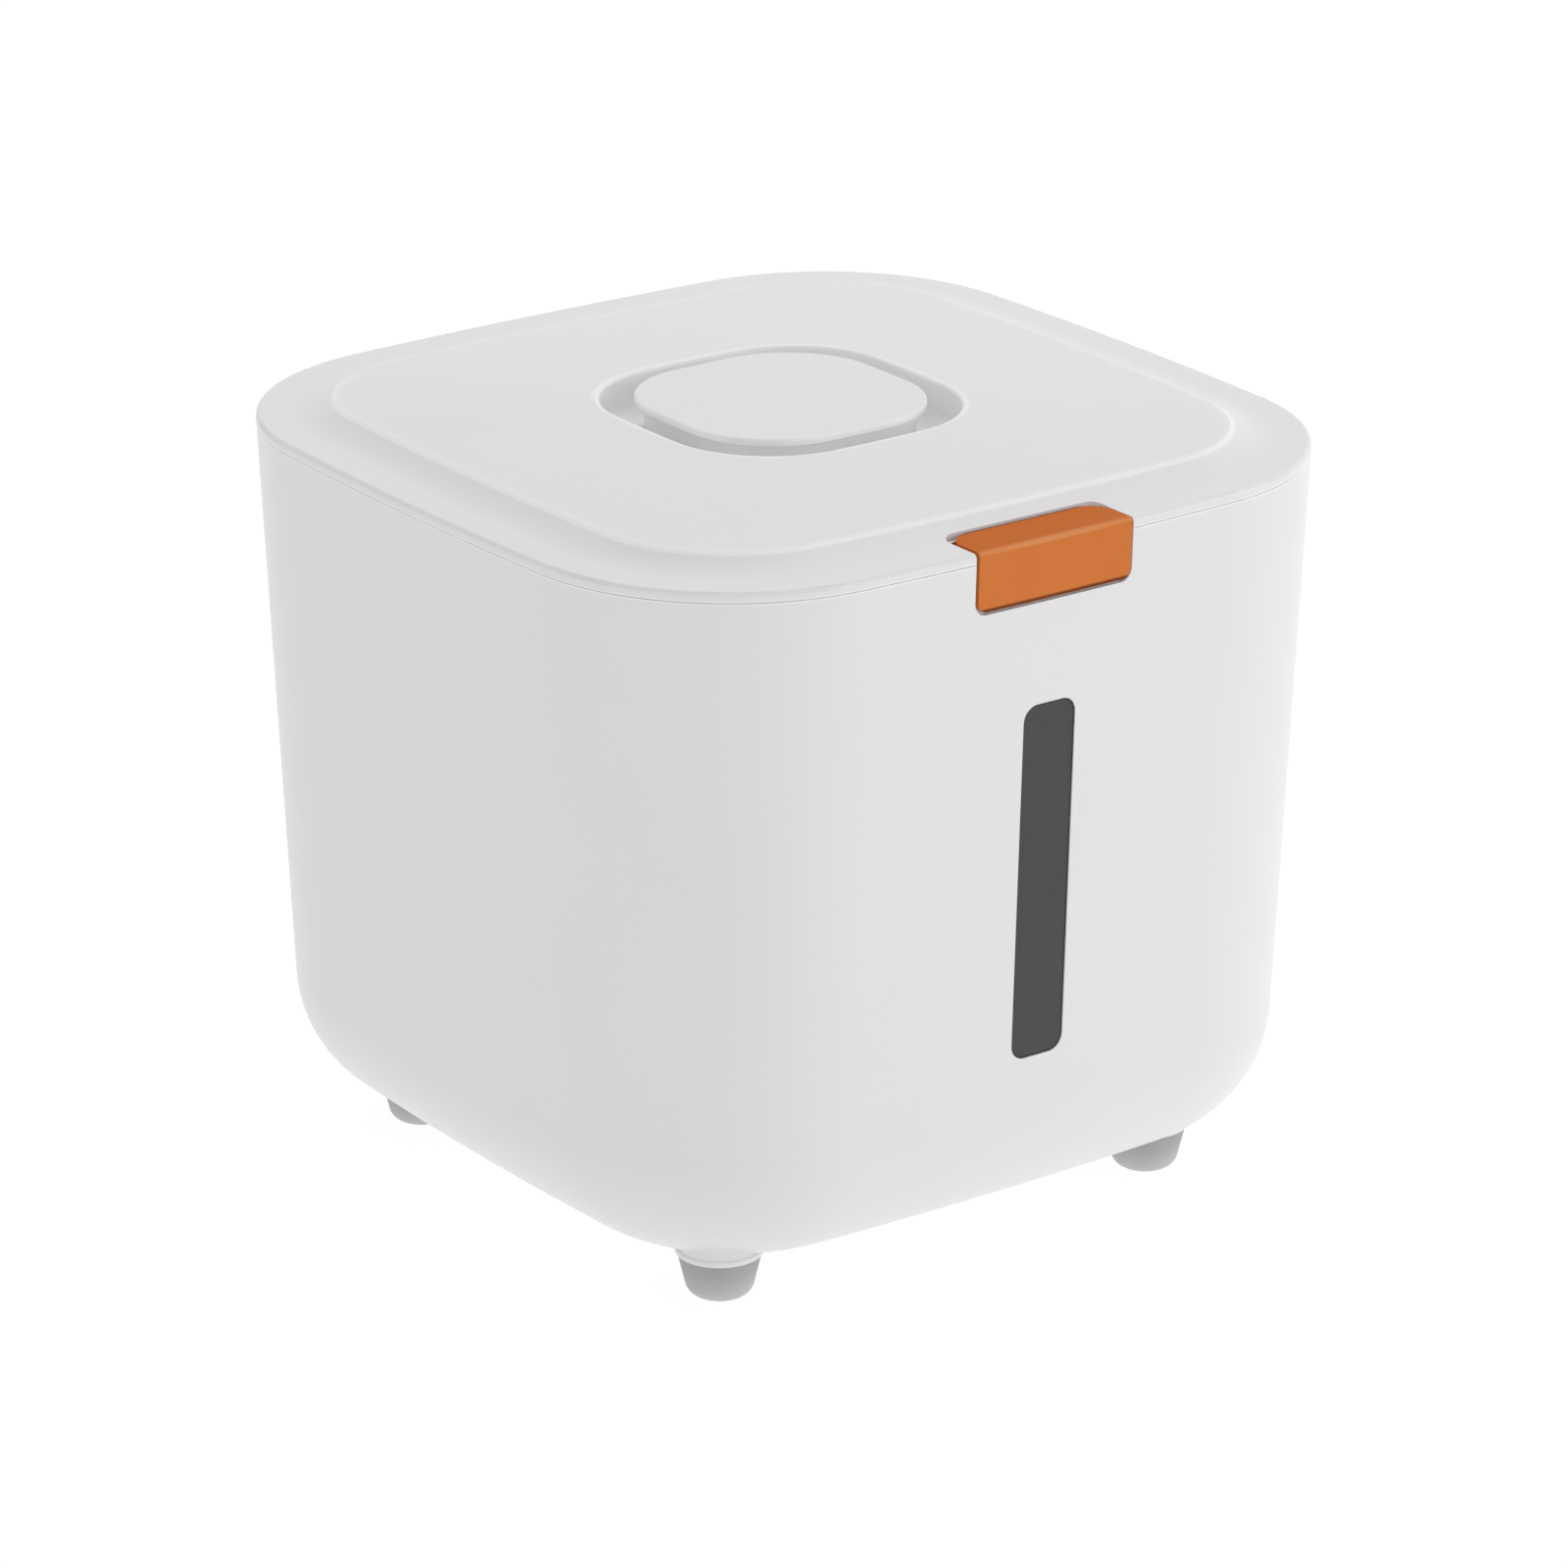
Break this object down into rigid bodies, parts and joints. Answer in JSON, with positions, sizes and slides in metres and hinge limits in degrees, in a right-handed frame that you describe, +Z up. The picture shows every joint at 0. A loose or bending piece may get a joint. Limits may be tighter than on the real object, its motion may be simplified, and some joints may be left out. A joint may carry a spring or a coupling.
{
  "type": "rice storage container",
  "caption": "Square-round white grain bin on short feet with a hinged sealing lid, orange front latch, smoked level window and pull-out desiccant cap.",
  "frame": {"origin": "on the floor under the tub's own axis, at the level of the feet", "axes": "+Z up, -Y the front with the window and the latch, +X to the right seen from the front"},
  "size_m": [0.27, 0.2753, 0.2444],
  "materials": {
    "white_plastic": "satin moulded",
    "inner_white_plastic": "plain moulded",
    "orange_plastic": "satin moulded",
    "smoked_plastic": "smoked, clear",
    "grey_rubber": "moulded",
    "silicone": "milky",
    "steel": "drawn"
  },
  "bodies": {
    "tub": {"tub": "white_plastic", "window_lens": "smoked_plastic", "window_gasket": "silicone", "window_frame": "inner_white_plastic", "hinge_pin_left": "steel", "hinge_pin_right": "steel", "foot_collar_front_left": "white_plastic", "foot_collar_front_right": "white_plastic", "foot_collar_rear_left": "white_plastic", "foot_collar_rear_right": "white_plastic", "rubber_foot_front_left": "grey_rubber", "rubber_foot_front_right": "grey_rubber", "rubber_foot_rear_left": "grey_rubber", "rubber_foot_rear_right": "grey_rubber"},
    "lid": {"lid_cover": "white_plastic", "lid_liner": "inner_white_plastic", "lid_seal": "silicone", "latch_pin": "steel"},
    "latch": {"latch_flap": "orange_plastic"},
    "cup": {"desiccant_cup": "inner_white_plastic"},
    "cap": {"cap_plate": "white_plastic", "cap_body": "white_plastic", "cap_seal": "silicone"}
  },
  "joints": [
    {"name": "lid_hinge", "type": "hinge", "parent": "tub", "child": "lid", "pos_m": [0, 0.1376, 0.2315], "axis": [-1, 0, 0], "range_deg": [0, 100]},
    {"name": "latch_pivot", "type": "hinge", "parent": "lid", "child": "latch", "pos_m": [0, -0.1198, 0.2353], "axis": [-1, 0, 0], "range_deg": [0, 80]},
    {"name": "cup_lift", "type": "slide", "parent": "lid", "child": "cup", "axis": [0, 0, 1], "range_m": [0, 0.06]},
    {"name": "cap_lift", "type": "slide", "parent": "cup", "child": "cap", "axis": [0, 0, 1], "range_m": [0, 0.04]}
  ]
}
